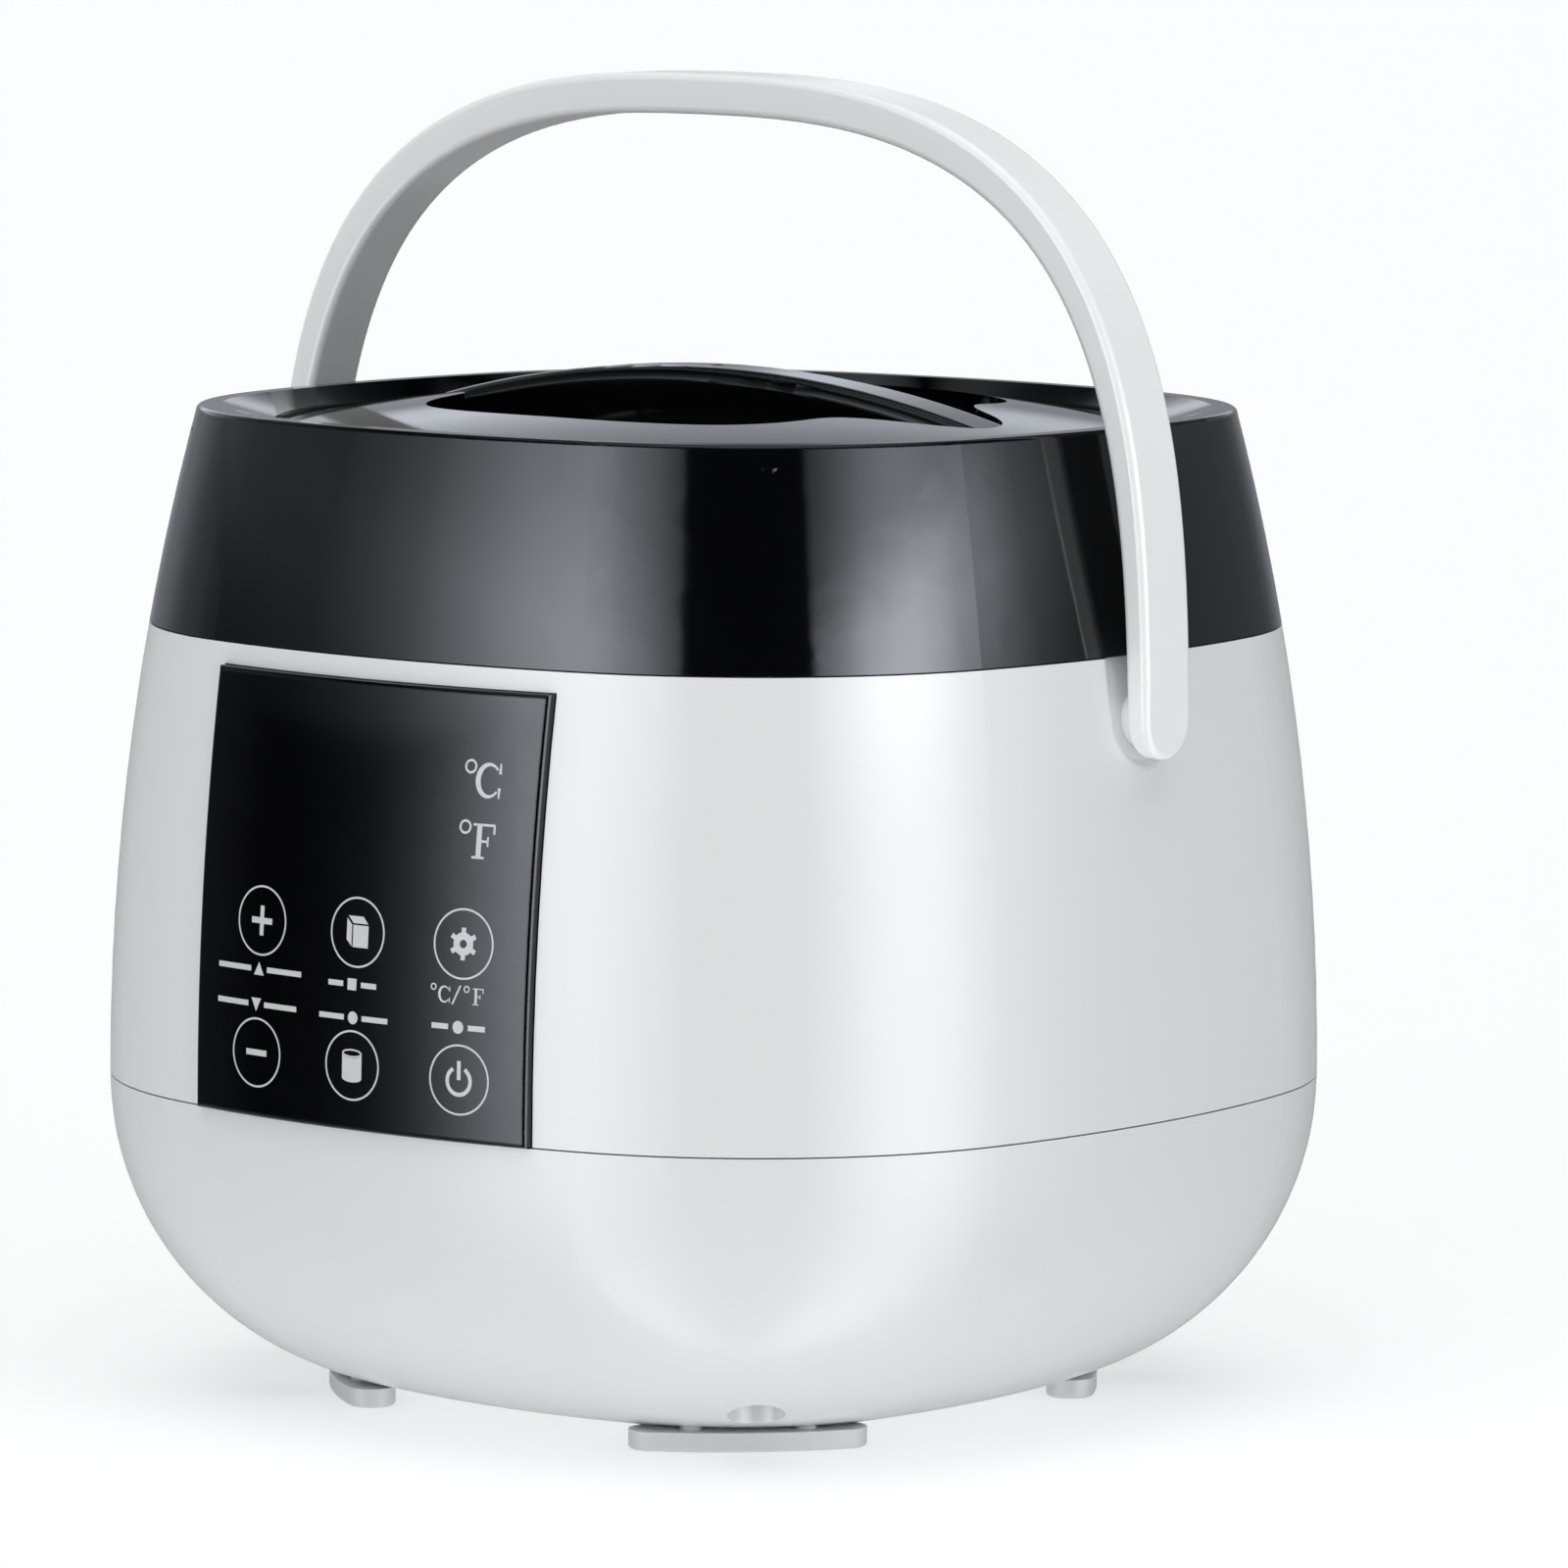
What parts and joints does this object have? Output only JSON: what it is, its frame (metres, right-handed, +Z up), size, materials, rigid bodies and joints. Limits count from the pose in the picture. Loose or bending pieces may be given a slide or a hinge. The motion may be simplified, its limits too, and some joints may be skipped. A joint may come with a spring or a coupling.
{
  "type": "wax warmer pot",
  "caption": "Round-cornered square wax warmer with a white casing, black top ring and lid, front touch panel, swing handle and removable pot.",
  "frame": {"origin": "centre of the body's footprint on the surface it stands on", "axes": "+Z up; -Y is the front with the control panel; the handle pivots lie on the X axis, +X at the viewer's right"},
  "size_m": [0.2116, 0.2085, 0.2468],
  "materials": {
    "shell_white": "smooth glossy injection-moulded plastic",
    "foot_grey": "satin moulded plastic",
    "ring_black": "high-gloss black plastic",
    "panel_black": "glass-look printed touch panel",
    "liner_grey": "plain sheet aluminium",
    "silicone": "grey silicone",
    "screw_steel": "zinc-plated steel",
    "handle_white": "satin-gloss moulded plastic",
    "pot_aluminium": "spun aluminium",
    "shield_steel": "galvanised sheet steel",
    "cast_plate": "cast aluminium",
    "element_steel": "heat-tinted steel tube",
    "board_green": "glass-fibre circuit board",
    "component_black": "moulded component case",
    "capacitor_yellow": "film capacitor case",
    "core_steel": "laminated steel core",
    "inlet_black": "moulded inlet body",
    "pin_brass": "nickel-plated brass",
    "wire_white": "silicone-insulated wire"
  },
  "bodies": {
    "housing": {"base_shell": "shell_white", "foot_pads": "foot_grey", "body_shell": "shell_white", "top_ring": "ring_black", "control_panel": "panel_black", "heat_shield": "shield_steel", "heater_plate": "cast_plate", "heater_element": "element_steel", "heater_posts": "screw_steel", "heater_screws": "screw_steel", "sensor_guide": "shield_steel", "sensor_spring": "screw_steel", "thermal_fuse": "component_black", "base_brackets": "shield_steel", "base_screws": "screw_steel", "ring_screws": "screw_steel", "shield_screws": "screw_steel", "power_board": "board_green", "power_relay": "component_black", "power_capacitor": "capacitor_yellow", "power_transformer": "core_steel", "board_screws": "screw_steel", "display_board": "board_green", "led_display": "component_black", "touch_springs": "screw_steel", "display_screws": "screw_steel", "power_inlet": "inlet_black", "inlet_pins": "pin_brass", "inlet_screws": "screw_steel", "mains_leads": "wire_white", "heater_leads": "wire_white"},
    "handle": {"handle": "handle_white", "pivot_washer_right": "screw_steel", "pivot_washer_left": "screw_steel", "pivot_screw_right": "screw_steel", "pivot_screw_left": "screw_steel"},
    "lid": {"lid_cover": "ring_black", "lid_liner": "liner_grey", "lid_seal": "silicone", "lid_screws": "screw_steel"},
    "pot": {"inner_pot": "pot_aluminium"},
    "sensor": {"sensor_cap": "pot_aluminium"}
  },
  "joints": [
    {"name": "handle_fold", "type": "hinge", "parent": "housing", "child": "handle", "pos_m": [0, 0, 0.133], "axis": [1, 0, 0], "range_deg": [-90, 90]},
    {"name": "lid_lift", "type": "slide", "parent": "housing", "child": "lid", "axis": [0, 0, 1], "range_m": [0, 0.026]},
    {"name": "pot_lift", "type": "slide", "parent": "housing", "child": "pot", "axis": [0, 0, 1], "range_m": [0, 0.0234]},
    {"name": "sensor_press", "type": "slide", "parent": "housing", "child": "sensor", "axis": [0, 0, 1], "range_m": [-0.003, 0], "stiffness_N_per_m": 400, "springref_m": 0.003, "deforming": ["sensor_spring"]}
  ],
  "couplings": [
    {"joint": "pot_lift", "follows": "lid_lift", "ratio": 0.9}
  ]
}
